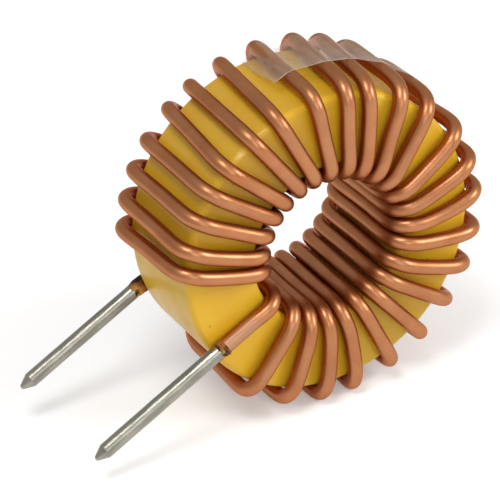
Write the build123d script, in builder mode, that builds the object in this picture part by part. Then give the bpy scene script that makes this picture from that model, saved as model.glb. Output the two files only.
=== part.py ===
from build123d import *
from math import cos, radians, sin, sqrt
import os

# Core: a pressed and painted ring, its edges rounded in three narrow flats
CORE_OUTER_DIAMETER = 26.9
CORE_INNER_DIAMETER = 14.2
CORE_HEIGHT = 10.2
CORE_EDGE_FLATS = (0.52, 0.17)

# Wire: one length of round copper, enamelled, bare and tinned at both ends
WIRE_DIAMETER = 1.32
BARE_DIAMETER = 1.19
SCRAPED_DIAMETER = 1.15
TINNED_DIAMETER = 1.32
FACE_GAP = 0.10
OUTER_GAP = 0.20
HOLE_GAP = 0.10
WIRE_SIDES = 14
BEND_SETBACK = 1.3
BEND_MIDDLE_SETBACK = 0.67

# Turns: degrees round the core from the side where both leads leave, one list for each edge
# that the wire crosses. The first turns are even, the last ones close up as they were wound.
FIRST_HOLE_ANGLE = 24.6
FIRST_OUTER_ANGLE = 26.5
EVEN_HOLE_GAPS = (14.6,) * 9
EVEN_OUTER_GAPS = (14.4,) * 9
LAST_HOLE_GAPS = (12.5,) * 7 + (12.0,) * 7
LAST_FRONT_GAPS = (12.5, 14.5, 17.7, 12.0, 15.3, 8.0, 13.0, 13.2, 10.9, 10.9, 9.2, 10.2, 10.2, 8.0)
LAST_BACK_GAPS = (11.0, 12.0, 13.4, 16.5, 12.3, 11.3, 14.3, 13.5, 12.3, 10.2, 14.1, 9.9, 10.1, 9.2)
HOLE_SKEW_FIRST = 2.0
HOLE_SKEW_LAST = 9.0

# Leads: both run straight out, side by side, one from each face
FRONT_LEAD_REACH = 26.35
REAR_LEAD_REACH = 26.85
FRONT_LEAD_SIDEWAYS = 0.2
REAR_LEAD_SIDEWAYS = -1.2
FRONT_STRIP_REACH = 12.4
REAR_STRIP_REACH = 13.3
NIPPED_LENGTH = 1.05
NOSE_DIAMETER = 0.34
TIN_START_DIAMETER = 1.24
SWELL_LENGTH = 1.6

# Tape: clear film laid over the outside of a few turns
TAPE_THICKNESS = 0.06
TAPE_CLEARANCE = 0.015
TAPE_TURNS = (13, 14, 15, 16, 17)
TAPE_FRONT_DEPTH = 1.4
TAPE_BACK_DEPTH = -4.4
TAPE_OVERHANG = 6.0
TAPE_CREST = 1.0
TAPE_FRONT_SAG = 0.1
TAPE_BACK_SAG = 0.5

# Rest: the ring lies on two neighbouring turns, with its axle level
RESTING_TURNS = (3, 4)

core_radius = CORE_OUTER_DIAMETER / 2
wire_radius = WIRE_DIAMETER / 2
face_depth = CORE_HEIGHT / 2 + FACE_GAP + wire_radius
outer_radius = core_radius + OUTER_GAP + wire_radius
hole_radius = CORE_INNER_DIAMETER / 2 - HOLE_GAP - wire_radius
crown_radius = outer_radius + wire_radius


def angles_from(first, gaps):
    """Running angles, starting at the first one and stepping by each gap in turn."""
    angles = [first]
    for gap in gaps:
        angles.append(angles[-1] + gap)
    return angles


hole_angles = angles_from(FIRST_HOLE_ANGLE, EVEN_HOLE_GAPS + LAST_HOLE_GAPS)
front_angles = angles_from(FIRST_OUTER_ANGLE, EVEN_OUTER_GAPS + LAST_FRONT_GAPS)
back_angles = angles_from(FIRST_OUTER_ANGLE, EVEN_OUTER_GAPS + LAST_BACK_GAPS)
turn_count = len(hole_angles)

# The core's plane: local X points along the leads, local Z to the front
down_angle = sum(front_angles[turn - 1] for turn in RESTING_TURNS) / len(RESTING_TURNS)
half_rest = radians(front_angles[RESTING_TURNS[1] - 1] - down_angle)
core_height_above_floor = wire_radius + outer_radius * cos(half_rest)
lead_direction = Vector(-sin(radians(down_angle)), 0, -cos(radians(down_angle)))
rim_reach = wire_radius + max(
    outer_radius * sin(radians(angle - down_angle)) for angle in front_angles + back_angles
)
tip_reach = (
    REAR_LEAD_REACH * sin(radians(down_angle))
    + (NOSE_DIAMETER / 2 - REAR_LEAD_SIDEWAYS) * cos(radians(down_angle))
)
core_x = (tip_reach - rim_reach) / 2
core_plane = Plane(origin=(core_x, 0, core_height_above_floor), x_dir=lead_direction, z_dir=(0, -1, 0))


def lead_point(reach, sideways, depth):
    """Point measured along the leads, sideways from the core's centre, and towards the front."""
    return core_plane.from_local_coords(Vector(reach, sideways, depth))


def ring_point(radius, angle, depth):
    """Point at a radius and an angle round the core, and a depth towards the front."""
    return lead_point(radius * cos(radians(angle)), radius * sin(radians(angle)), depth)


def hole_reach(sideways):
    """How far along the leads' direction a lead enters the hole, close to its wall."""
    return sqrt(hole_radius**2 - sideways**2)


def hole_skew(turn):
    """How far a turn leans inside the hole, more where the turns crowd together."""
    crowded = max(0, turn - len(EVEN_HOLE_GAPS) - 1) / len(LAST_HOLE_GAPS)
    return HOLE_SKEW_FIRST + (HOLE_SKEW_LAST - HOLE_SKEW_FIRST) * crowded


def winding_corners():
    """Corners of the wire's path, from the front lead, turn by turn, to the rear lead."""
    corners = [
        lead_point(FRONT_STRIP_REACH, FRONT_LEAD_SIDEWAYS, face_depth),
        lead_point(hole_reach(FRONT_LEAD_SIDEWAYS), FRONT_LEAD_SIDEWAYS, face_depth),
        ring_point(hole_radius, HOLE_SKEW_FIRST, -face_depth),
    ]
    for turn in range(1, turn_count + 1):
        hole_angle = hole_angles[turn - 1]
        corners.append(ring_point(outer_radius, back_angles[turn - 1], -face_depth))
        corners.append(ring_point(outer_radius, front_angles[turn - 1], face_depth))
        corners.append(ring_point(hole_radius, hole_angle, face_depth))
        corners.append(ring_point(hole_radius, hole_angle + hole_skew(turn), -face_depth))
    corners[-1] = lead_point(hole_reach(REAR_LEAD_SIDEWAYS), REAR_LEAD_SIDEWAYS, -face_depth)
    corners.append(lead_point(REAR_STRIP_REACH, REAR_LEAD_SIDEWAYS, -face_depth))
    return corners


def bent_path(corners):
    """The same path with each corner rounded off, turning in three nearly equal steps."""
    path = [corners[0]]
    for before, corner, after in zip(corners, corners[1:], corners[2:]):
        back = (before - corner).normalized()
        ahead = (after - corner).normalized()
        path.append(corner + back * BEND_SETBACK)
        path.append(corner + (back + ahead).normalized() * BEND_MIDDLE_SETBACK)
        path.append(corner + ahead * BEND_SETBACK)
    path.append(corners[-1])
    return path


def lead_plane(strip_reach, sideways, depth):
    """Plane through a lead's axle, with local Y along the lead from where its enamel ends."""
    start = lead_point(strip_reach, sideways, depth)
    return Plane(origin=start, x_dir=core_plane.z_dir, z_dir=core_plane.y_dir)


def bare_outline(length):
    """Half-section of the bare copper: scraped thinner where it starts, nipped to a blunt nose."""
    end = length - tin_thickness
    bare_radius = BARE_DIAMETER / 2
    return [
        (0, 0),
        (SCRAPED_DIAMETER / 2, 0),
        (bare_radius, SWELL_LENGTH),
        (bare_radius, length - NIPPED_LENGTH),
        (NOSE_DIAMETER / 2 - tin_thickness, end),
        (0, end),
    ]


def tin_outline(length):
    """Half-section of the solder coat, which starts thin and covers the bare copper, nose and all."""
    coat = [
        (0, length),
        (NOSE_DIAMETER / 2, length),
        (TINNED_DIAMETER / 2, length - NIPPED_LENGTH),
        (TINNED_DIAMETER / 2, SWELL_LENGTH),
        (TIN_START_DIAMETER / 2, 0),
    ]
    return bare_outline(length)[1:] + coat


def tape_outline(depth, sag):
    """Section of the film at one depth: flat over each turn's crest, and sagging between them."""
    along = (face_depth - depth) / (2 * face_depth)
    crests = []
    for turn in TAPE_TURNS:
        front, back = front_angles[turn - 1], back_angles[turn - 1]
        crests.append(front + (back - front) * along)
    high = crown_radius + TAPE_CLEARANCE
    low = high - sag
    under = [(low, crests[0] - TAPE_OVERHANG)]
    for crest, next_crest in zip(crests, crests[1:]):
        under += [(high, crest - TAPE_CREST), (high, crest + TAPE_CREST)]
        under.append((low, (crest + next_crest) / 2))
    under += [(high, crests[-1] - TAPE_CREST), (high, crests[-1] + TAPE_CREST)]
    under.append((low, crests[-1] + TAPE_OVERHANG))
    over = [(radius + TAPE_THICKNESS, angle) for radius, angle in reversed(under)]
    return [(radius * cos(radians(angle)), radius * sin(radians(angle))) for radius, angle in under + over]


tin_thickness = (TINNED_DIAMETER - BARE_DIAMETER) / 2
leads = {
    "front": (
        lead_plane(FRONT_STRIP_REACH, FRONT_LEAD_SIDEWAYS, face_depth),
        FRONT_LEAD_REACH - FRONT_STRIP_REACH,
    ),
    "rear": (
        lead_plane(REAR_STRIP_REACH, REAR_LEAD_SIDEWAYS, -face_depth),
        REAR_LEAD_REACH - REAR_STRIP_REACH,
    ),
}
os.makedirs("parts", exist_ok=True)

# Core
with BuildPart() as core:
    with BuildSketch(core_plane):
        Circle(core_radius)
        Circle(CORE_INNER_DIAMETER / 2, mode=Mode.SUBTRACT)
    extrude(amount=CORE_HEIGHT / 2, both=True)
    for flat in CORE_EDGE_FLATS:
        chamfer(core.edges().filter_by(GeomType.CIRCLE), length=flat)
core.part.label = "core"
export_step(core.part, "parts/core.step")

# Winding: the enamelled wire, and the bare copper that runs on inside the tin at both ends
with BuildPart() as winding:
    with BuildLine() as wire_path:
        Polyline(*bent_path(winding_corners()))
    with BuildSketch(Plane(origin=wire_path.line @ 0, z_dir=wire_path.line % 0)):
        RegularPolygon(wire_radius, side_count=WIRE_SIDES)
    sweep(path=wire_path.line, transition=Transition.RIGHT)
    for plane, length in leads.values():
        with BuildSketch(plane):
            Polygon(*bare_outline(length), align=None)
        revolve(axis=Axis(plane.origin, plane.y_dir))
winding.part.label = "winding"
export_step(winding.part, "parts/winding.step")

# Tin on the two leads
for side, (plane, length) in leads.items():
    with BuildPart() as tin:
        with BuildSketch(plane):
            Polygon(*tin_outline(length), align=None)
        revolve(axis=Axis(plane.origin, plane.y_dir))
    tin.part.label = f"{side}_lead_tin"
    export_step(tin.part, f"parts/{tin.part.label}.step")

# Tape
with BuildPart() as tape:
    for depth, sag in ((TAPE_FRONT_DEPTH, TAPE_FRONT_SAG), (TAPE_BACK_DEPTH, TAPE_BACK_SAG)):
        with BuildSketch(core_plane.offset(depth)):
            Polygon(*tape_outline(depth, sag), align=None)
    loft(ruled=True)
tape.part.label = "tape"
export_step(tape.part, "parts/tape.step")
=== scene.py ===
from math import cos, pi, radians, sin, sqrt
import bpy
import numpy as np
from mathutils import Matrix, Vector


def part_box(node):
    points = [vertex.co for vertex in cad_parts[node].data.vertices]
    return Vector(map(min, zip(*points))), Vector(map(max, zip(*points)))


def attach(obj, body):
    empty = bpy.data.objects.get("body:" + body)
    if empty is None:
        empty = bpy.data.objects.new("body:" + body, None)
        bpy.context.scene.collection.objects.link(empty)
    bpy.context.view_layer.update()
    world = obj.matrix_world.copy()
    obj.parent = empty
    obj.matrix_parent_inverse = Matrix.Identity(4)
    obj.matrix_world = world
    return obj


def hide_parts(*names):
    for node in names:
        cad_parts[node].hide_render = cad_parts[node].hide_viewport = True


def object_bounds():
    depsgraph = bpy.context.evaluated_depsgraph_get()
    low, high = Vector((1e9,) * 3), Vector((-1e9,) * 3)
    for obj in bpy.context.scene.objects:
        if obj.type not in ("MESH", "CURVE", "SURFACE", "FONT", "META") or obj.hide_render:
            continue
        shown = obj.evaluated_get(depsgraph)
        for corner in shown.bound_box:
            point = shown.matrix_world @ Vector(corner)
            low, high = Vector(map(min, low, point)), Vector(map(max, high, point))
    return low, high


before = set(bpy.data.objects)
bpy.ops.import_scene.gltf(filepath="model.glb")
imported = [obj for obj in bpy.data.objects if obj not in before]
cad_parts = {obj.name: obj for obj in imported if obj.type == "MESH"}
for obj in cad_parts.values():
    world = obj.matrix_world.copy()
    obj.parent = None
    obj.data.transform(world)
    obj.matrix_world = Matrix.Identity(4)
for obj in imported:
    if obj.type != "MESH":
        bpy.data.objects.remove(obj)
cad_low, cad_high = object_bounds()

# Camera: it stands in front of the ring, a little to its left and above, leans slightly to one
# side, and aims just beside the ring's centre.
MM = 0.001
CAMERA_AZIMUTH = radians(-27.58)
CAMERA_ELEVATION = radians(29.92)
CAMERA_ROLL = radians(3.351)
CAMERA_DISTANCE = 234.755 * MM
CAMERA_LENS = 200.81
CAMERA_SENSOR = 36
CAMERA_NEAR_LIMIT = 10 * MM
CAMERA_FAR_LIMIT = 10
AIM_FROM_CENTRE = Vector((-4.420, 0.976, -2.052)) * MM

core_low, core_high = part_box("core")
ring_centre = (core_low + core_high) / 2
view_back = Vector(
    (
        sin(CAMERA_AZIMUTH) * cos(CAMERA_ELEVATION),
        -cos(CAMERA_AZIMUTH) * cos(CAMERA_ELEVATION),
        sin(CAMERA_ELEVATION),
    )
)
level_right = Vector((cos(CAMERA_AZIMUTH), sin(CAMERA_AZIMUTH), 0))
level_up = view_back.cross(level_right)
view_up = level_up * cos(CAMERA_ROLL) + level_right * sin(CAMERA_ROLL)
view_right = view_up.cross(view_back)
camera_turn = Matrix((view_right, view_up, view_back)).transposed().to_4x4()
camera_place = ring_centre + AIM_FROM_CENTRE + view_back * CAMERA_DISTANCE

camera_data = bpy.data.cameras.new("camera")
camera_data.lens = CAMERA_LENS
camera_data.sensor_width = CAMERA_SENSOR
camera_data.clip_start = CAMERA_NEAR_LIMIT
camera_data.clip_end = CAMERA_FAR_LIMIT
camera = bpy.data.objects.new("camera", camera_data)
camera.matrix_world = Matrix.Translation(camera_place) @ camera_turn
bpy.context.scene.collection.objects.link(camera)
bpy.context.scene.camera = camera

# Core: one ring pressed from iron powder, its edges rounded by the tool, coated all over with a
# glossy yellow paint. The paint has small dark pits. Short pale streaks along the rounded edges
# are a painted highlight, where the lamps would catch the rounding.
CORE_RADIUS = (core_high.x - core_low.x) / 2
CORE_HALF_HEIGHT = (core_high.y - core_low.y) / 2
CORE_HOLE_RADIUS = 7.1 * MM
CORE_ROUNDING = 0.55 * MM
CORNER_POINTS = 11
AROUND_CORE = 360
EDGE_HIGHLIGHT_NARROWNESS = 3
PAINT_BUMP = 0.012 * MM
CORE_YELLOW = (0.71, 0.415, 0.017, 1)
CORE_OCHRE = (0.68, 0.37, 0.014, 1)
CORE_GREENISH = (0.65, 0.42, 0.024, 1)
PIT_BROWN = (0.16, 0.08, 0.012, 1)
EDGE_HIGHLIGHT_STRAW = (0.88, 0.68, 0.24, 1)


def once_round(count):
    """Evenly spaced angles, once round and without the last one, which would meet the first."""
    return np.linspace(0, 2 * pi, count, endpoint=False)


def swept_grid(points, closed_along, closed_across):
    """Quads that join a grid of points, indexed along by rows and across by columns.

    A closed direction joins its last line to its first one.
    """
    rows, columns = points.shape[:2]
    row = np.arange(rows if closed_along else rows - 1)[:, None]
    column = np.arange(columns if closed_across else columns - 1)[None, :]
    next_row = (row + 1) % rows
    next_column = (column + 1) % columns
    quads = np.stack(
        np.broadcast_arrays(
            row * columns + column,
            row * columns + next_column,
            next_row * columns + next_column,
            next_row * columns + column,
        ),
        axis=-1,
    )
    return quads.reshape(-1, 4)


def surface(name, points, faces, material, **attributes):
    """A smooth-shaded piece from an array of points, with one value or vector a point for each
    named attribute."""
    mesh = bpy.data.meshes.new(name)
    mesh.from_pydata(points.reshape(-1, 3).tolist(), [], faces.tolist())
    mesh.polygons.foreach_set("use_smooth", np.ones(len(mesh.polygons), bool))
    for attribute, values in attributes.items():
        if values.ndim == 3:
            layer = mesh.attributes.new(attribute, "FLOAT_VECTOR", "POINT")
            layer.data.foreach_set("vector", values.astype(np.float32).ravel())
        else:
            layer = mesh.attributes.new(attribute, "FLOAT", "POINT")
            layer.data.foreach_set("value", values.astype(np.float32).ravel())
    mesh.materials.append(material)
    piece = bpy.data.objects.new(name, mesh)
    bpy.context.scene.collection.objects.link(piece)
    return piece


def new_material(name, **settings):
    """A material with one Principled shader, its named sockets set to plain values."""
    material = bpy.data.materials.new(name)
    material.use_nodes = True
    shader = material.node_tree.nodes["Principled BSDF"]
    for socket, value in settings.items():
        shader.inputs[socket.replace("_", " ")].default_value = value
    return material, material.node_tree, shader


def add_node(tree, kind, sockets, **settings):
    """A shader node with its settings, and its sockets, by name or number, set or linked."""
    node = tree.nodes.new(kind)
    for name, value in settings.items():
        setattr(node, name, value)
    for socket, value in sockets.items():
        if isinstance(value, bpy.types.NodeSocket):
            tree.links.new(value, node.inputs[socket])
        else:
            node.inputs[socket].default_value = value
    return node


def reckoned(tree, operation, first, second):
    """The number that one sum, product or comparison gives."""
    node = add_node(tree, "ShaderNodeMath", {0: first, 1: second}, operation=operation)
    return node.outputs[0]


def graded(tree, mask, low, high):
    """A number that goes from low, where a mask is 0, to high, where the mask is 1."""
    sockets = {"Value": mask, "To Min": low, "To Max": high}
    return add_node(tree, "ShaderNodeMapRange", sockets).outputs[0]


def tinted(tree, colour, tint, mask, strength=1.0):
    """A colour moved towards a tint, by a mask times a strength.

    A Mix node takes its share in socket 0 and its colours in 6 and 7, and gives the mix in 2.
    """
    share = reckoned(tree, "MULTIPLY", mask, strength)
    node = add_node(tree, "ShaderNodeMix", {0: share, 6: colour, 7: tint}, data_type="RGBA")
    return node.outputs[2]


def read_attribute(tree, name, output):
    """A piece's own attribute, as a vector or as a factor."""
    return add_node(tree, "ShaderNodeAttribute", {}, attribute_name=name).outputs[output]


def roughened(tree, shader, height, depth):
    """Lets a height move the surface's shading by a depth in metres."""
    bump = add_node(tree, "ShaderNodeBump", {"Height": height, "Distance": depth, "Strength": 1.0})
    tree.links.new(bump.outputs[0], shader.inputs["Normal"])


def new_group(name, numbers, output):
    """A shader node group that takes a place and some numbers, and gives one number."""
    group = bpy.data.node_groups.new(name, "ShaderNodeTree")
    group.interface.new_socket("Place", in_out="INPUT", socket_type="NodeSocketVector")
    for number in numbers:
        group.interface.new_socket(number, in_out="INPUT", socket_type="NodeSocketFloat")
    group.interface.new_socket(output, in_out="OUTPUT", socket_type="NodeSocketFloat")
    given = group.nodes.new("NodeGroupInput").outputs
    result = group.nodes.new("NodeGroupOutput").inputs
    return group, given, result


def effect(tree, group, place, **numbers):
    """One of the shared effects, placed in a material with that material's own numbers."""
    node = tree.nodes.new("ShaderNodeGroup")
    node.node_tree = group
    tree.links.new(place, node.inputs["Place"])
    for socket, number in numbers.items():
        node.inputs[socket].default_value = number
    return node.outputs[0]


# Cloudy patches: noise of a scale, stretched from 0 at its low level to 1 at its high level
patches, given, result = new_group("patches", ("Scale", "Low", "High"), "Mask")
cloud = add_node(
    patches,
    "ShaderNodeTexNoise",
    {"Vector": given["Place"], "Scale": given["Scale"], "Detail": 3.0},
)
level = add_node(
    patches,
    "ShaderNodeMapRange",
    {"Value": cloud.outputs[0], "From Min": given["Low"], "From Max": given["High"]},
    interpolation_type="SMOOTHSTEP",
)
patches.links.new(level.outputs[0], result[0])

# Pits: small round spots in some of the cells of a pattern of a scale, 1 at their middle
pits, given, result = new_group("pits", ("Scale", "Size", "Share"), "Mask")
cells = add_node(pits, "ShaderNodeTexVoronoi", {"Vector": given["Place"], "Scale": given["Scale"]})
spot = add_node(
    pits,
    "ShaderNodeMapRange",
    {"Value": cells.outputs["Distance"], "From Min": given["Size"], "From Max": 0.0},
)
parted = add_node(pits, "ShaderNodeSeparateColor", {0: cells.outputs["Color"]})
chosen = reckoned(pits, "LESS_THAN", parted.outputs[0], given["Share"])
pits.links.new(reckoned(pits, "MULTIPLY", spot.outputs[0], chosen), result[0])


def rounded_section(inner, outer, half_height, rounding, steps):
    """Outline of a rectangle with round corners, once round, as radius, height and bend.

    Each corner is a quarter circle about its own centre, and a straight run joins it to the next.
    The bend is the sine of twice the angle round a corner: 0 at its ends and 1 at its middle.
    """
    quarter = np.linspace(0, pi / 2, steps)
    corner_angle = quarter + (np.arange(4) * pi / 2)[:, None]
    middle = np.array([outer, inner, inner, outer]) + np.array([-1, 1, 1, -1]) * rounding
    level = np.array([1, 1, -1, -1]) * (half_height - rounding)
    radius = middle[:, None] + rounding * np.cos(corner_angle)
    height = level[:, None] + rounding * np.sin(corner_angle)
    bend = np.broadcast_to(np.sin(2 * quarter), radius.shape)
    return radius.ravel(), height.ravel(), bend.ravel()


section_radius, section_height, section_bend = rounded_section(
    CORE_HOLE_RADIUS, CORE_RADIUS, CORE_HALF_HEIGHT, CORE_ROUNDING, CORNER_POINTS
)
core_turn = once_round(AROUND_CORE)[:, None]
core_points = np.stack(
    np.broadcast_arrays(
        ring_centre.x + section_radius * np.cos(core_turn),
        ring_centre.y + section_height,
        ring_centre.z + section_radius * np.sin(core_turn),
    ),
    axis=-1,
)
# Mask of the painted edge highlight: high at the middle of each rounded edge, 0 on the flats
rounded_edge = np.broadcast_to(section_bend**EDGE_HIGHLIGHT_NARROWNESS, core_points.shape[:2])

core_paint, tree, shader = new_material(
    "core_paint", Specular_IOR_Level=0.3, Coat_Weight=0.15, Coat_Roughness=0.14
)
place = add_node(tree, "ShaderNodeTexCoord", {}).outputs["Object"]
ochre = effect(tree, patches, place, Scale=260, Low=0.35, High=0.72)
greenish = effect(tree, patches, place, Scale=90, Low=0.50, High=0.75)
# Painted highlight: short pale streaks along the rounded edges, where lamps would catch them
streaks = effect(tree, patches, place, Scale=420, Low=0.60, High=0.70)
painted_edge_highlight = reckoned(tree, "MULTIPLY", streaks, read_attribute(tree, "edge", "Fac"))
pitted = effect(tree, pits, place, Scale=1000, Size=0.16, Share=0.10)
colour = tinted(tree, CORE_YELLOW, CORE_OCHRE, ochre)
colour = tinted(tree, colour, CORE_GREENISH, greenish)
colour = tinted(tree, colour, EDGE_HIGHLIGHT_STRAW, painted_edge_highlight, strength=0.8)
colour = tinted(tree, colour, PIT_BROWN, pitted, strength=0.9)
tree.links.new(colour, shader.inputs["Base Color"])
dull = effect(tree, patches, place, Scale=600, Low=0.3, High=0.7)
tree.links.new(graded(tree, dull, low=0.34, high=0.46), shader.inputs["Roughness"])
uneven = effect(tree, patches, place, Scale=1400, Low=0.2, High=0.8)
roughened(tree, shader, uneven, PAINT_BUMP)

core_faces = swept_grid(core_points, True, True)
core_piece = surface("painted_core", core_points, core_faces, core_paint, edge=rounded_edge)
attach(core_piece, "root")
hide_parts("core")

# Winding: one round copper wire in clear amber enamel, wound by hand through the hole, turn after
# turn, each pulled tight over the core's edges and left a little slack between them. Both ends
# leave side by side as leads, dulled where they were heated to strip them.
WIRE_RADIUS = 0.66 * MM
FACE_DEPTH = 5.86 * MM
OUTER_RADIUS = 14.31 * MM
HOLE_RADIUS = 6.34 * MM
LEADS_FROM_DOWN = radians(62.5)
FRONT_LEAD_SIDEWAYS = 0.2 * MM
REAR_LEAD_SIDEWAYS = -1.2 * MM
FRONT_STRIP_REACH = 12.75 * MM
REAR_STRIP_REACH = 13.5 * MM

# Each turn's place, in degrees round the ring from the leads: where it enters the hole from the
# front, and where it bends over the rim's front and rear edges
HOLE_ANGLES = np.array((
    25.1, 40.2, 53.9, 67.0, 80.7, 94.5, 107.6, 121.1, 136.5, 149.7, 163.2, 176.7,
    189.8, 202.5, 215.6, 229.0, 242.4, 254.5, 267.1, 280.3, 292.9, 307.4, 322.2, 335.4,
))
FRONT_ANGLES = np.array((
    24.7, 41.2, 55.7, 68.2, 84.4, 98.9, 113.8, 128.0, 141.6, 156.3, 168.8, 182.8,
    200.3, 213.2, 227.4, 236.0, 248.1, 262.7, 273.5, 285.9, 295.6, 305.9, 316.9, 325.2,
))
BACK_ANGLES = np.array((
    27.5, 39.5, 54.8, 70.5, 82.6, 96.5, 111.0, 125.5, 140.0, 155.0, 166.0, 178.0,
    192.7, 209.0, 220.0, 230.8, 245.2, 258.8, 271.6, 282.0, 295.0, 306.0, 316.7, 327.5,
))
TURN_COUNT = len(HOLE_ANGLES)

# A turn leans inside the hole by the first number of degrees, up to the turn where they start to
# crowd, and then by more and more, up to the last number
HOLE_SKEW_FIRST = 2.0
HOLE_SKEW_LAST = 9.0
CROWDED_FROM = 10

# How far the wire stands off the straight line between two bends. Some turns have their own slack
# over the rim, and some drift to the side on the front face: both are in millimetres.
HOLE_BOW = 0.05 * MM
FACE_BOW = 0.08 * MM
RIM_BOW = 0.03 * MM
SLACK_TURNS = {3: -0.05, 4: -0.05, 11: 0.15, 12: 0.22, 13: 0.28, 14: 0.2, 15: 0.15}
FACE_DRIFTS = {
    1: 0.15, 2: 0.25, 3: 0.3, 4: 0.25, 7: -0.05, 8: -0.25, 9: -0.25, 10: -0.4,
    11: -0.3, 12: -0.25, 13: -0.1, 15: -0.2, 21: 0.05, 22: 0.05, 23: 0.2, 24: 0.2,
}
BEND_RADIUS = 1.46 * MM
BEND_PULL = 1.1 * MM
LEG_PULL = 0.6
HALF_LEG_POINTS = 14
SIDES = 28
SCORCH_LENGTH = 4.2 * MM
SCORCH_FADE = 0.8 * MM
UNDERSIDE_FROM = 0.50
UNDERSIDE_FADE = 0.9
ENAMEL_BUMP = 0.004 * MM
COPPER = (0.50, 0.215, 0.086, 1)
COPPER_DEEP = (0.45, 0.168, 0.060, 1)
COPPER_DULL = (0.40, 0.20, 0.10, 1)
UNDERSIDE_PAINTED_SHADE = (0.46, 0.095, 0.018, 1)
SCORCHED = (0.52, 0.30, 0.18, 1)
PIT_DARK = (0.10, 0.03, 0.012, 1)


def placed(reach, sideways, depth):
    """Points from lengths along the leads, sideways from the centre, and towards the front."""
    reach, sideways, depth = np.broadcast_arrays(reach, sideways, depth)
    x = ring_centre.x - reach * sin(LEADS_FROM_DOWN) + sideways * cos(LEADS_FROM_DOWN)
    z = ring_centre.z - reach * cos(LEADS_FROM_DOWN) - sideways * sin(LEADS_FROM_DOWN)
    return np.stack((x, ring_centre.y - depth, z), axis=-1)


def on_ring(radius, degrees, depth):
    """Points at a radius and an angle round the ring from the leads, and a depth to the front."""
    angle = np.radians(degrees)
    return placed(radius * np.cos(angle), radius * np.sin(angle), depth)


turn_numbers = np.arange(1, TURN_COUNT + 1)
crowded = np.clip((turn_numbers - CROWDED_FROM) / (TURN_COUNT - CROWDED_FROM), 0, 1)
hole_skews = HOLE_SKEW_FIRST + (HOLE_SKEW_LAST - HOLE_SKEW_FIRST) * crowded
turn_corners = np.stack(
    (
        on_ring(OUTER_RADIUS, BACK_ANGLES, -FACE_DEPTH),
        on_ring(OUTER_RADIUS, FRONT_ANGLES, FACE_DEPTH),
        on_ring(HOLE_RADIUS, HOLE_ANGLES, FACE_DEPTH),
        on_ring(HOLE_RADIUS, HOLE_ANGLES + hole_skews, -FACE_DEPTH),
    ),
    axis=1,
).reshape(-1, 3)
first_corners = np.stack(
    (
        placed(FRONT_STRIP_REACH, FRONT_LEAD_SIDEWAYS, FACE_DEPTH),
        placed(sqrt(HOLE_RADIUS**2 - FRONT_LEAD_SIDEWAYS**2), FRONT_LEAD_SIDEWAYS, FACE_DEPTH),
        on_ring(HOLE_RADIUS, HOLE_SKEW_FIRST, -FACE_DEPTH),
    )
)
last_corners = np.stack(
    (
        placed(sqrt(HOLE_RADIUS**2 - REAR_LEAD_SIDEWAYS**2), REAR_LEAD_SIDEWAYS, -FACE_DEPTH),
        placed(REAR_STRIP_REACH, REAR_LEAD_SIDEWAYS, -FACE_DEPTH),
    )
)
corners = np.concatenate((first_corners, turn_corners[:-1], last_corners))

# The legs between the corners: the front lead, and then again and again one through the hole, one
# over the rear face, one over the rim and one over the front face, and last the rear lead
leg_count = len(corners) - 1
bows = np.zeros(leg_count)
bows[1::4] = HOLE_BOW
bows[2:-1:4] = FACE_BOW
bows[3::4] = RIM_BOW
bows[4::4] = FACE_BOW
for turn, bow in SLACK_TURNS.items():
    bows[4 * turn - 1] = bow * MM
drifts = np.zeros((leg_count, 3))
for turn, drift in FACE_DRIFTS.items():
    leg_angle = (FRONT_ANGLES[turn - 1] + HOLE_ANGLES[turn - 1]) / 2
    drifts[4 * turn] = on_ring(drift * MM, leg_angle + 90, 0) - np.array(ring_centre)


def unit(vectors):
    """The same vectors, each divided by its length."""
    return vectors / np.linalg.norm(vectors, axis=-1, keepdims=True)


def cubic(start, start_pull, end_pull, end, steps):
    """Points of Bezier curves: each end and pull point weighed by its cubic Bernstein share."""
    t = np.linspace(0, 1, steps, endpoint=False)[None, :, None]
    return (
        (1 - t) ** 3 * start[:, None]
        + 3 * (1 - t) ** 2 * t * start_pull[:, None]
        + 3 * (1 - t) * t**2 * end_pull[:, None]
        + t**3 * end[:, None]
    )


def pulled_wire(corners, bows, drifts):
    """Centre line of a wire pulled round corners, as one row of points for each leg between them.

    The wire passes each corner at its apex, where an arc of the bend radius would pass: inside the
    corner by that radius over the cosine of half the turn, less the radius. It runs there halfway
    between its two legs' directions. Each leg's middle stands off the straight line by its bow,
    away from the core, and by its drift. Cubic curves join apexes and middles: they are pulled by
    a fixed length at an apex, and by a share of their span along the leg at a middle.
    """
    runs = unit(np.diff(corners, axis=0))
    half_turn = np.arccos(np.clip((runs[:-1] * runs[1:]).sum(-1, keepdims=True), -1, 1)) / 2
    inwards = unit(runs[1:] - runs[:-1])
    apexes = corners[1:-1] + inwards * BEND_RADIUS * (1 / np.cos(half_turn) - 1)
    heading = unit(runs[:-1] + runs[1:])
    outwards = -np.concatenate((inwards[:1], inwards[:-1] + inwards[1:], inwards[-1:]))
    outwards = unit(outwards - runs * (outwards * runs).sum(-1, keepdims=True))
    middles = (corners[:-1] + corners[1:]) / 2 + outwards * bows[:, None] + drifts
    starts = np.concatenate((corners[:1], apexes))
    ends = np.concatenate((apexes, corners[-1:]))
    leaving = np.concatenate((runs[:1], heading)) * BEND_PULL
    arriving = np.concatenate((heading, runs[-1:])) * BEND_PULL
    pull_in = runs * np.linalg.norm(middles - starts, axis=-1, keepdims=True) * LEG_PULL
    pull_out = runs * np.linalg.norm(ends - middles, axis=-1, keepdims=True) * LEG_PULL
    first_half = cubic(starts, starts + leaving, middles - pull_in, middles, HALF_LEG_POINTS)
    second_half = cubic(middles, middles + pull_out, ends - arriving, ends, HALF_LEG_POINTS)
    return np.concatenate((first_half, second_half), axis=1)


def away_from_section(path):
    """Direction of each point from the nearest point of the circle that runs inside the core."""
    flat = path - np.array(ring_centre)
    flat[:, 1] = 0
    middle = (HOLE_RADIUS + OUTER_RADIUS) / 2
    return path - (np.array(ring_centre) + unit(flat) * middle)


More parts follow.
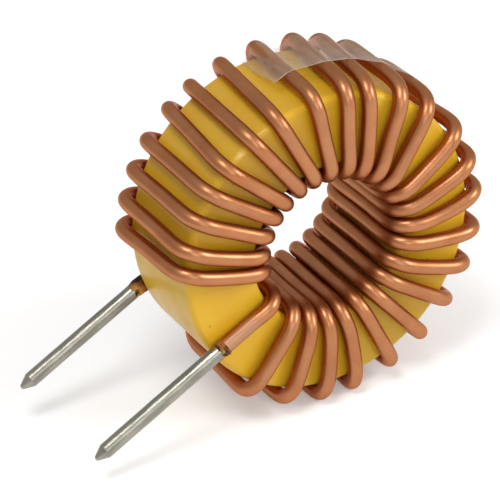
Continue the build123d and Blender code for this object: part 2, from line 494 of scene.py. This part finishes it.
def tube(path, outward, angle):
    """Round surface along a path, one ring of points for each point of the path.

    A ring's point is the path's point, plus the wire's radius times the cosine of its angle along
    the outward direction, plus that radius times its sine along the tangent crossed with that.
    """
    tangent = unit(np.gradient(path, axis=0))
    out = unit(outward - tangent * (outward * tangent).sum(-1, keepdims=True))[:, None]
    side = np.cross(tangent[:, None], out)
    angle = angle[:, None]
    return path[:, None] + WIRE_RADIUS * (out * np.cos(angle) + side * np.sin(angle))


def unrolled(along, angle):
    """Place on an unrolled wire: the length along it, then the cosine and the sine of the angle
    round it, each times the wire's radius."""
    return np.stack(
        np.broadcast_arrays(along, WIRE_RADIUS * np.cos(angle), WIRE_RADIUS * np.sin(angle)),
        axis=-1,
    )


wire_legs = pulled_wire(corners, bows, drifts)
wire_path = np.concatenate((wire_legs.reshape(-1, 3), corners[-1:]))
wire_angle = once_round(SIDES)
wire_points = tube(wire_path, away_from_section(wire_path), wire_angle)
steps = np.linalg.norm(np.diff(wire_path, axis=0), axis=-1)
wire_along = np.concatenate(((0,), np.cumsum(steps)))[:, None]
wire_place = unrolled(wire_along, wire_angle)

# The enamel is scorched near both leads. The side that faces the core is painted deeper red, as
# painted shade and a painted reflection of the yellow core beside it.
from_strip = np.minimum(wire_place[..., 0], wire_along[-1] - wire_place[..., 0])
scorch = np.clip((SCORCH_LENGTH - from_strip) / SCORCH_FADE, 0, 1)
underside = np.clip((UNDERSIDE_FROM - wire_place[..., 1] / WIRE_RADIUS) / UNDERSIDE_FADE, 0, 1)

enamelled_copper, tree, shader = new_material(
    "enamelled_copper",
    Metallic=1.0,
    Specular_Tint=(0.75, 0.40, 0.22, 1),
    Coat_Weight=0.35,
    Coat_Roughness=0.2,
    Coat_IOR=1.65,
    Coat_Tint=(1.0, 0.86, 0.70, 1),
)
place = read_attribute(tree, "wire_place", "Vector")
drawn = add_node(tree, "ShaderNodeMapping", {"Vector": place, "Scale": (0.12, 1, 1)}).outputs[0]
heated = read_attribute(tree, "scorch", "Fac")
painted_shade_beneath = read_attribute(tree, "underside", "Fac")
deep = effect(tree, patches, place, Scale=500, Low=0.3, High=0.7)
speckled = effect(tree, patches, drawn, Scale=2600, Low=0.42, High=0.62)
pitted = effect(tree, pits, place, Scale=1100, Size=0.16, Share=0.04)
colour = tinted(tree, COPPER, COPPER_DEEP, deep)
colour = tinted(tree, colour, COPPER_DULL, speckled, strength=0.35)
colour = tinted(tree, colour, SCORCHED, heated, strength=0.7)
# Painted shade and reflection of the core, deeper red on the wire's underside
colour = tinted(tree, colour, UNDERSIDE_PAINTED_SHADE, painted_shade_beneath, strength=0.85)
colour = tinted(tree, colour, PIT_DARK, pitted, strength=0.8)
tree.links.new(colour, shader.inputs["Base Color"])
streaks = effect(tree, patches, drawn, Scale=1800, Low=0.3, High=0.7)
dull = graded(tree, streaks, low=0.38, high=0.46)
dull = reckoned(tree, "ADD", dull, graded(tree, heated, low=0.0, high=0.2))
tree.links.new(dull, shader.inputs["Roughness"])
uneven = effect(tree, patches, drawn, Scale=1500, Low=0.2, High=0.8)
roughened(tree, shader, uneven, ENAMEL_BUMP)

winding_piece = surface(
    "enamelled_wire",
    wire_points,
    swept_grid(wire_points, False, True),
    enamelled_copper,
    wire_place=wire_place,
    scorch=scorch,
    underside=underside,
)
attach(winding_piece, "root")
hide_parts("winding")

# Tin: the two ends of the wire, stripped and dipped in solder, then nipped to a blunt point by
# the cutter. The solder thins out up the wire and ends in ragged tongues.
TIN_RADIUS = 0.66 * MM
FRONT_TIN_START = 12.3 * MM
REAR_TIN_START = 13.3 * MM
FRONT_LEAD_REACH = 26.35 * MM
REAR_LEAD_REACH = 26.85 * MM
NIPPED_LENGTH = 1.05 * MM
NOSE_RADIUS = 0.17 * MM
NOSE_LENGTH = 0.12 * MM
NOSE_FIRST_ANGLE = 0.2
NOSE_TIP_SHARE = 0.01
TONGUE_LENGTH = 0.5 * MM
TONGUE_ANGLE = -0.9
TONGUE_WAVES = ((3, 0.12, 0), (7, 0.08, 0))
SWELL_LENGTH = 0.25 * MM
SWELL_DEPTH = 0.03 * MM
BEAD_RISE = 0.02 * MM
SOLDER_BUMP = 0.02 * MM
TIN_BRIGHT = (0.36, 0.34, 0.29, 1)
TIN_GREY = (0.25, 0.24, 0.20, 1)
TIN_STAIN = (0.14, 0.13, 0.11, 1)

# Rows of points along a lead: even on the rod, closer on the cone, and a few on the nose
ROD_SHARES = (0.0, 0.90)
CONE_SHARES = (0.91, 0.985)
ROD_ROWS = 70
CONE_ROWS = 12
NOSE_ROWS = 6

solder_tin, tree, shader = new_material("solder_tin", Metallic=1.0)
place = read_attribute(tree, "wire_place", "Vector")
smeared = add_node(tree, "ShaderNodeMapping", {"Vector": place, "Scale": (0.3, 1, 1)}).outputs[0]
grey = effect(tree, patches, smeared, Scale=1100, Low=0.35, High=0.7)
pitted = effect(tree, pits, place, Scale=1100, Size=0.30, Share=0.05)
colour = tinted(tree, TIN_BRIGHT, TIN_GREY, grey)
colour = tinted(tree, colour, TIN_STAIN, pitted, strength=0.8)
tree.links.new(colour, shader.inputs["Base Color"])
dull = effect(tree, patches, smeared, Scale=900, Low=0.3, High=0.7)
tree.links.new(graded(tree, dull, low=0.24, high=0.36), shader.inputs["Roughness"])
uneven = effect(tree, patches, smeared, Scale=1600, Low=0.2, High=0.8)
roughened(tree, shader, uneven, SOLDER_BUMP)

# Directions in which a lead's depth and its place to the side are measured
to_front = placed(0, 0, 1) - placed(0, 0, 0)
to_side = placed(0, 1, 0) - placed(0, 0, 0)


def round_lead(along, sideways, depth, radius, angle):
    """Points round a lead: the point of its middle line, plus the radius times the cosine of the
    angle towards the front, plus the radius times its sine to the side."""
    around = np.cos(angle)[..., None] * to_front + np.sin(angle)[..., None] * to_side
    return placed(along, sideways, depth) + radius[..., None] * around


def waves(angle, terms, share=1):
    """Sum of sine waves round a wire, each of a count and a height, and shifted by an angle times
    a share."""
    return sum(height * np.sin(count * angle + shift * share) for count, height, shift in terms)


def tinned_end(name, start, end, sideways, depth):
    """A round rod of solder that ends in a cone and a round nose.

    Its upper end is ragged: there it starts further down the wire by the tongue's length times
    half of one plus the cosine of the angle round it, plus smaller waves. From there its radius
    swells to the full one as a square, with a bead as a half sine wave over the same length. The
    cone's radius falls evenly, and the nose's as a circle's.
    """
    angle = once_round(SIDES)[None, :]
    tongue_share = (1 + np.cos(angle - TONGUE_ANGLE)) / 2 + waves(angle, TONGUE_WAVES)
    ragged = TONGUE_LENGTH * tongue_share
    stop = end - NOSE_LENGTH
    rod_share = np.linspace(*ROD_SHARES, ROD_ROWS)
    cone_share = np.linspace(*CONE_SHARES, CONE_ROWS)
    share = np.concatenate((rod_share, cone_share))[:, None]
    along = start + ragged * (1 - share) ** 3 + (stop - start) * share / CONE_SHARES[1]
    nose_angle = np.linspace(NOSE_FIRST_ANGLE, pi / 2, NOSE_ROWS)[:, None]
    nose_along = stop + NOSE_LENGTH * np.sin(nose_angle)
    along = np.concatenate((along, np.broadcast_to(nose_along, (NOSE_ROWS, SIDES))))
    cone = np.clip((end - along) / NIPPED_LENGTH, 0, 1)
    nose = np.clip((end - along) / NOSE_LENGTH, 0, 1)
    swell = np.clip((along - start - ragged) / SWELL_LENGTH, 0, 1)
    radius = NOSE_RADIUS + (TIN_RADIUS - NOSE_RADIUS) * cone
    radius = radius * np.sqrt(np.clip(1 - (1 - nose) ** 2, NOSE_TIP_SHARE**2, 1))
    radius = radius - SWELL_DEPTH * (1 - swell) ** 2 + BEAD_RISE * np.sin(pi * swell)
    points = round_lead(along, sideways, depth, radius, angle)
    faces = swept_grid(points, False, True)[:, ::-1]
    return surface(name, points, faces, solder_tin, wire_place=unrolled(along, angle))


tin_ends = {
    "front_lead_tin": (FRONT_TIN_START, FRONT_LEAD_REACH, FRONT_LEAD_SIDEWAYS, FACE_DEPTH),
    "rear_lead_tin": (REAR_TIN_START, REAR_LEAD_REACH, REAR_LEAD_SIDEWAYS, -FACE_DEPTH),
}
for node, sizes in tin_ends.items():
    tin_piece = tinned_end("solder_on_" + node.removesuffix("_tin"), *sizes)
    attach(tin_piece, "root")
    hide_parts(node)

# Burnt enamel: what the hot solder left where each tin starts, a thin dark brown crust round the
# wire. On the rear lead it is a longer collar. Amber flux covers part of each.
FRONT_CRUST = {"start": 12.1 * MM, "end": 12.8 * MM, "rise": 0.085 * MM, "lean": 0.5 * MM}
REAR_CRUST = {"start": 12.6 * MM, "end": 14.3 * MM, "rise": 0.08 * MM, "lean": 0.4 * MM}
CRUST_SUNK = 0.02 * MM
CRUST_FULLNESS = 0.6
CRUST_SIDES = 56
CRUST_ROWS = 25
CRUST_EDGE_WAVES = ((3, 0.10, 1), (5, 0.06, 0), (9, 0.04, 2))
CRUST_LUMPS = ((4, 0.35, 7), (7, 0.25, -11))
CRUST_UPPER_LEAN = 0.4
FLUX_FROM = 0.45
FLUX_FADE = 0.3
FLUX_ANGLE = 0.6
FLUX_WIDTH = 0.6
CRUST_BUMP = 0.05 * MM
CRUST_BROWN = (0.030, 0.011, 0.005, 1)
CRUST_RUST = (0.30, 0.095, 0.022, 1)
CRUST_AMBER = (0.60, 0.33, 0.08, 1)

burnt_enamel, tree, shader = new_material("burnt_enamel", Roughness=0.45, Specular_IOR_Level=0.12)
place = read_attribute(tree, "wire_place", "Vector")
rusty = effect(tree, patches, place, Scale=900, Low=0.44, High=0.60)
flux = effect(tree, patches, place, Scale=1500, Low=0.4, High=0.6)
flux = reckoned(tree, "MULTIPLY", flux, read_attribute(tree, "amber", "Fac"))
colour = tinted(tree, CRUST_BROWN, CRUST_RUST, rusty)
colour = tinted(tree, colour, CRUST_AMBER, flux)
tree.links.new(colour, shader.inputs["Base Color"])
uneven = effect(tree, patches, place, Scale=1800, Low=0.3, High=0.7)
roughened(tree, shader, uneven, CRUST_BUMP)


def crust(name, sideways, depth, start, end, rise, lean):
    """A thin sleeve round the wire, swollen in its middle by a rise and sunk into it at both ends.

    Its radius is the wire's, less what it is sunk, plus the rise times a power of the sine of the
    share along it, times one plus waves round it. Its ends lean by the cosine of the angle round
    the wire, with smaller waves, and the lower end by more than the upper one. Flux lies on the
    lower part of one side.
    """
    angle = once_round(CRUST_SIDES)[None, :]
    share = np.linspace(0, 1, CRUST_ROWS)[:, None]
    shift = lean * (np.cos(angle - TONGUE_ANGLE) / 2 + waves(angle, CRUST_EDGE_WAVES))
    shift = shift * (CRUST_UPPER_LEAN + (1 - CRUST_UPPER_LEAN) * share)
    along = start + (end - start) * share + shift
    swelling = np.sin(pi * share) ** CRUST_FULLNESS * (1 + waves(angle, CRUST_LUMPS, share))
    radius = WIRE_RADIUS - CRUST_SUNK + rise * swelling
    points = round_lead(along, sideways, depth, radius, angle)
    faces = swept_grid(points, False, True)[:, ::-1]
    lower = np.clip((share - FLUX_FROM) / FLUX_FADE, 0, 1)
    amber = lower * np.clip(FLUX_WIDTH + np.cos(angle - FLUX_ANGLE), 0, 1)
    return surface(
        name, points, faces, burnt_enamel, wire_place=unrolled(along, angle), amber=amber
    )


crusts = {
    "crust_on_front_lead": (FRONT_CRUST, FRONT_LEAD_SIDEWAYS, FACE_DEPTH),
    "crust_on_rear_lead": (REAR_CRUST, REAR_LEAD_SIDEWAYS, -FACE_DEPTH),
}
for name, (sizes, sideways, depth) in crusts.items():
    crust_piece = crust(name, sideways, depth, **sizes)
    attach(crust_piece, "root")

# Tape: a short strip of clear film, laid over the outside of a few turns. It is taut along its
# front edge, and behind that it clings to each turn and sinks between them.
TAPE_TURNS = (13, 14, 15, 16, 17)
TAPE_FRONT_DEPTHS = (1.5 * MM, 1.9 * MM)
TAPE_BACK_DEPTH = -4.6 * MM
TAPE_CLEARANCE = 0.02 * MM
TAPE_THICKNESS = 0.04 * MM
TAIL_EDGE_SHARE = 0.35
FILM_ROWS = 30
TIP_COLUMNS = 4
SPAN_COLUMNS = 12
TAIL_COLUMNS = 14
FILM_SHEEN_GREY = (0.52, 0.43, 0.33, 1)

# The film sags between two turns by a rate times the square of the gap in degrees, and at its
# front edge by only a share of that. Its free ends, in degrees too, are a flat tip and a tail
# that drops. Both effects grow evenly from the front and are full before the back edge.
TAPE_SAG_RATE = 0.0055 * MM
TAPE_FRONT_SAG = 0.08
TAPE_SLACKENS = 1.5
TAPE_TIP = 2.0
TAPE_TAIL = 6.5
TAPE_TAIL_DROPS = (0.35 * MM, 1.35 * MM)

clear_tape, tree, shader = new_material("clear_tape", Roughness=0.22, Base_Color=FILM_SHEEN_GREY)
place = add_node(tree, "ShaderNodeTexCoord", {}).outputs["Object"]
# Painted sheen: the film's grey shows more where it is seen edge-on, over its own faint haze and
# cut edge
facing = add_node(tree, "ShaderNodeLayerWeight", {"Blend": 0.35}).outputs["Facing"]
hazy = effect(tree, patches, place, Scale=900, Low=0.35, High=0.7)
rim = read_attribute(tree, "cut_edge", "Fac")
sheen_and_haze_cover = graded(tree, facing, low=0.05, high=0.33)
sheen_and_haze_cover = reckoned(tree, "ADD", sheen_and_haze_cover, graded(tree, hazy, low=0.0, high=0.08))
sheen_and_haze_cover = reckoned(tree, "ADD", sheen_and_haze_cover, graded(tree, rim, low=0.0, high=0.4))
tree.links.new(sheen_and_haze_cover, shader.inputs["Alpha"])

# The film's points are an angle round the ring, a radius and a depth. Rows run across the film
# and columns along it. It touches each turn at a crest and sinks between two crests by a squared
# sine, and its tail drops by half of one minus a cosine.
across = np.linspace(0, 1, FILM_ROWS)[:, None]
slackened = np.clip(across * TAPE_SLACKENS, 0, 1)
front_depths = np.linspace(*TAPE_FRONT_DEPTHS, len(TAPE_TURNS))
to_lead = placed(1, 0, 0) - placed(0, 0, 0)
crests = []
for turn, front_depth in zip(TAPE_TURNS, front_depths):
    rim_leg = wire_legs[4 * turn - 1] - np.array(ring_centre)
    leg_depth = rim_leg @ to_front
    leg_radius = np.hypot(rim_leg @ to_lead, rim_leg @ to_side)
    leg_angle = np.degrees(np.unwrap(np.arctan2(rim_leg @ to_side, rim_leg @ to_lead))) % 360
    depth = front_depth + (TAPE_BACK_DEPTH - front_depth) * across[:, 0]
    angle = np.interp(depth, leg_depth, leg_angle)
    radius = np.interp(depth, leg_depth, leg_radius) + WIRE_RADIUS + TAPE_CLEARANCE
    crests.append(np.stack((angle, radius, depth), axis=-1))
crests = np.stack(crests, axis=1)
gaps = crests[:, 1:] - crests[:, :-1]
span_share = np.linspace(0, 1, SPAN_COLUMNS, endpoint=False)[None, :]
spans = crests[:, :-1, None] + gaps[:, :, None] * span_share[..., None]
sag = TAPE_SAG_RATE * gaps[..., 0] ** 2 * (TAPE_FRONT_SAG + (1 - TAPE_FRONT_SAG) * slackened)
spans[..., 1] -= sag[..., None] * np.sin(pi * span_share) ** 2
tip_share = np.linspace(0, 1, TIP_COLUMNS, endpoint=False)[None, :]
tip_turn = np.broadcast_to((tip_share - 1) * TAPE_TIP, (FILM_ROWS, TIP_COLUMNS))
tip = crests[:, :1] + np.stack((tip_turn, 0 * tip_turn, 0 * tip_turn), axis=-1)
tail_share = np.linspace(0, 1, TAIL_COLUMNS)[None, :]
tail_turn = np.broadcast_to(tail_share * TAPE_TAIL, (FILM_ROWS, TAIL_COLUMNS))
tail_drop = np.interp(slackened, (0, 1), TAPE_TAIL_DROPS) * (1 - np.cos(pi * tail_share)) / 2
tail = crests[:, -1:] + np.stack((tail_turn, -tail_drop, 0 * tail_turn), axis=-1)
film = np.concatenate((tip, spans.reshape(FILM_ROWS, -1, 3), tail), axis=1)
tape_points = on_ring(film[..., 1], film[..., 0], film[..., 2])
cut_edge = np.zeros(tape_points.shape[:2])
cut_edge[0] = 1
cut_edge[:, -1] = TAIL_EDGE_SHARE

tape_faces = swept_grid(tape_points, False, False)
tape_piece = surface("clear_film", tape_points, tape_faces, clear_tape, cut_edge=cut_edge)
tape_wall = tape_piece.modifiers.new("thickness", "SOLIDIFY")
tape_wall.thickness = TAPE_THICKNESS
tape_wall.offset = 1
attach(tape_piece, "root")
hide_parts("tape")

# Floor: a plain white sheet under the part, which keeps the part's soft shadow. What the camera
# and shiny metal see of it is lifted to white.
FLOOR_REACH = 1.5
FLOOR_LIFT = 0.25
FLOOR_WHITE = (0.82, 0.82, 0.82, 1)
WHITE = (1, 1, 1, 1)

floor_material, tree, shader = new_material(
    "floor", Base_Color=FLOOR_WHITE, Roughness=1.0, Specular_IOR_Level=0.0, Emission_Color=WHITE
)
rays = add_node(tree, "ShaderNodeLightPath", {}).outputs
seen = reckoned(tree, "ADD", rays["Is Camera Ray"], rays["Is Glossy Ray"])
seen = reckoned(tree, "ADD", seen, rays["Is Transmission Ray"])
tree.links.new(reckoned(tree, "MULTIPLY", seen, FLOOR_LIFT), shader.inputs["Emission Strength"])

reach = np.array((-FLOOR_REACH, FLOOR_REACH))
floor_points = np.stack(np.broadcast_arrays(reach[:, None], reach[None, :], cad_low.z), axis=-1)
floor_faces = swept_grid(floor_points, False, False)[:, ::-1]
floor = surface("floor", floor_points, floor_faces, floor_material)

# Light: a plain grey room, and three soft lamps: one to the camera's right, one above and a weaker,
# wider one near the camera. A lamp's place is a direction in the camera's view.
ROOM_LEVEL = 0.55

world = bpy.data.worlds.new("room")
world.use_nodes = True
world.node_tree.nodes["Background"].inputs["Color"].default_value = WHITE
world.node_tree.nodes["Background"].inputs["Strength"].default_value = ROOM_LEVEL
bpy.context.scene.world = world


def soft_lamp(name, right, up, back, distance, size, power):
    """A square lamp that faces the ring's centre from a direction in the camera's view, with its
    distance and size in metres and its power in watts."""
    towards = (view_right * right + view_up * up + view_back * back).normalized()
    lamp_data = bpy.data.lights.new(name, "AREA")
    lamp_data.size = size
    lamp_data.energy = power
    lamp = bpy.data.objects.new(name, lamp_data)
    lamp.location = ring_centre + towards * distance
    lamp.rotation_euler = towards.to_track_quat("Z", "Y").to_euler()
    bpy.context.scene.collection.objects.link(lamp)


soft_lamp("right_lamp", right=0.84, up=0.37, back=0.41, distance=0.45, size=0.17, power=0.85)
soft_lamp("top_lamp", right=-0.2, up=0.6, back=0.78, distance=0.45, size=0.17, power=0.8)
soft_lamp("front_lamp", right=0.25, up=-0.05, back=0.97, distance=0.60, size=0.30, power=0.6)
bpy.context.scene.view_settings.view_transform = "Standard"
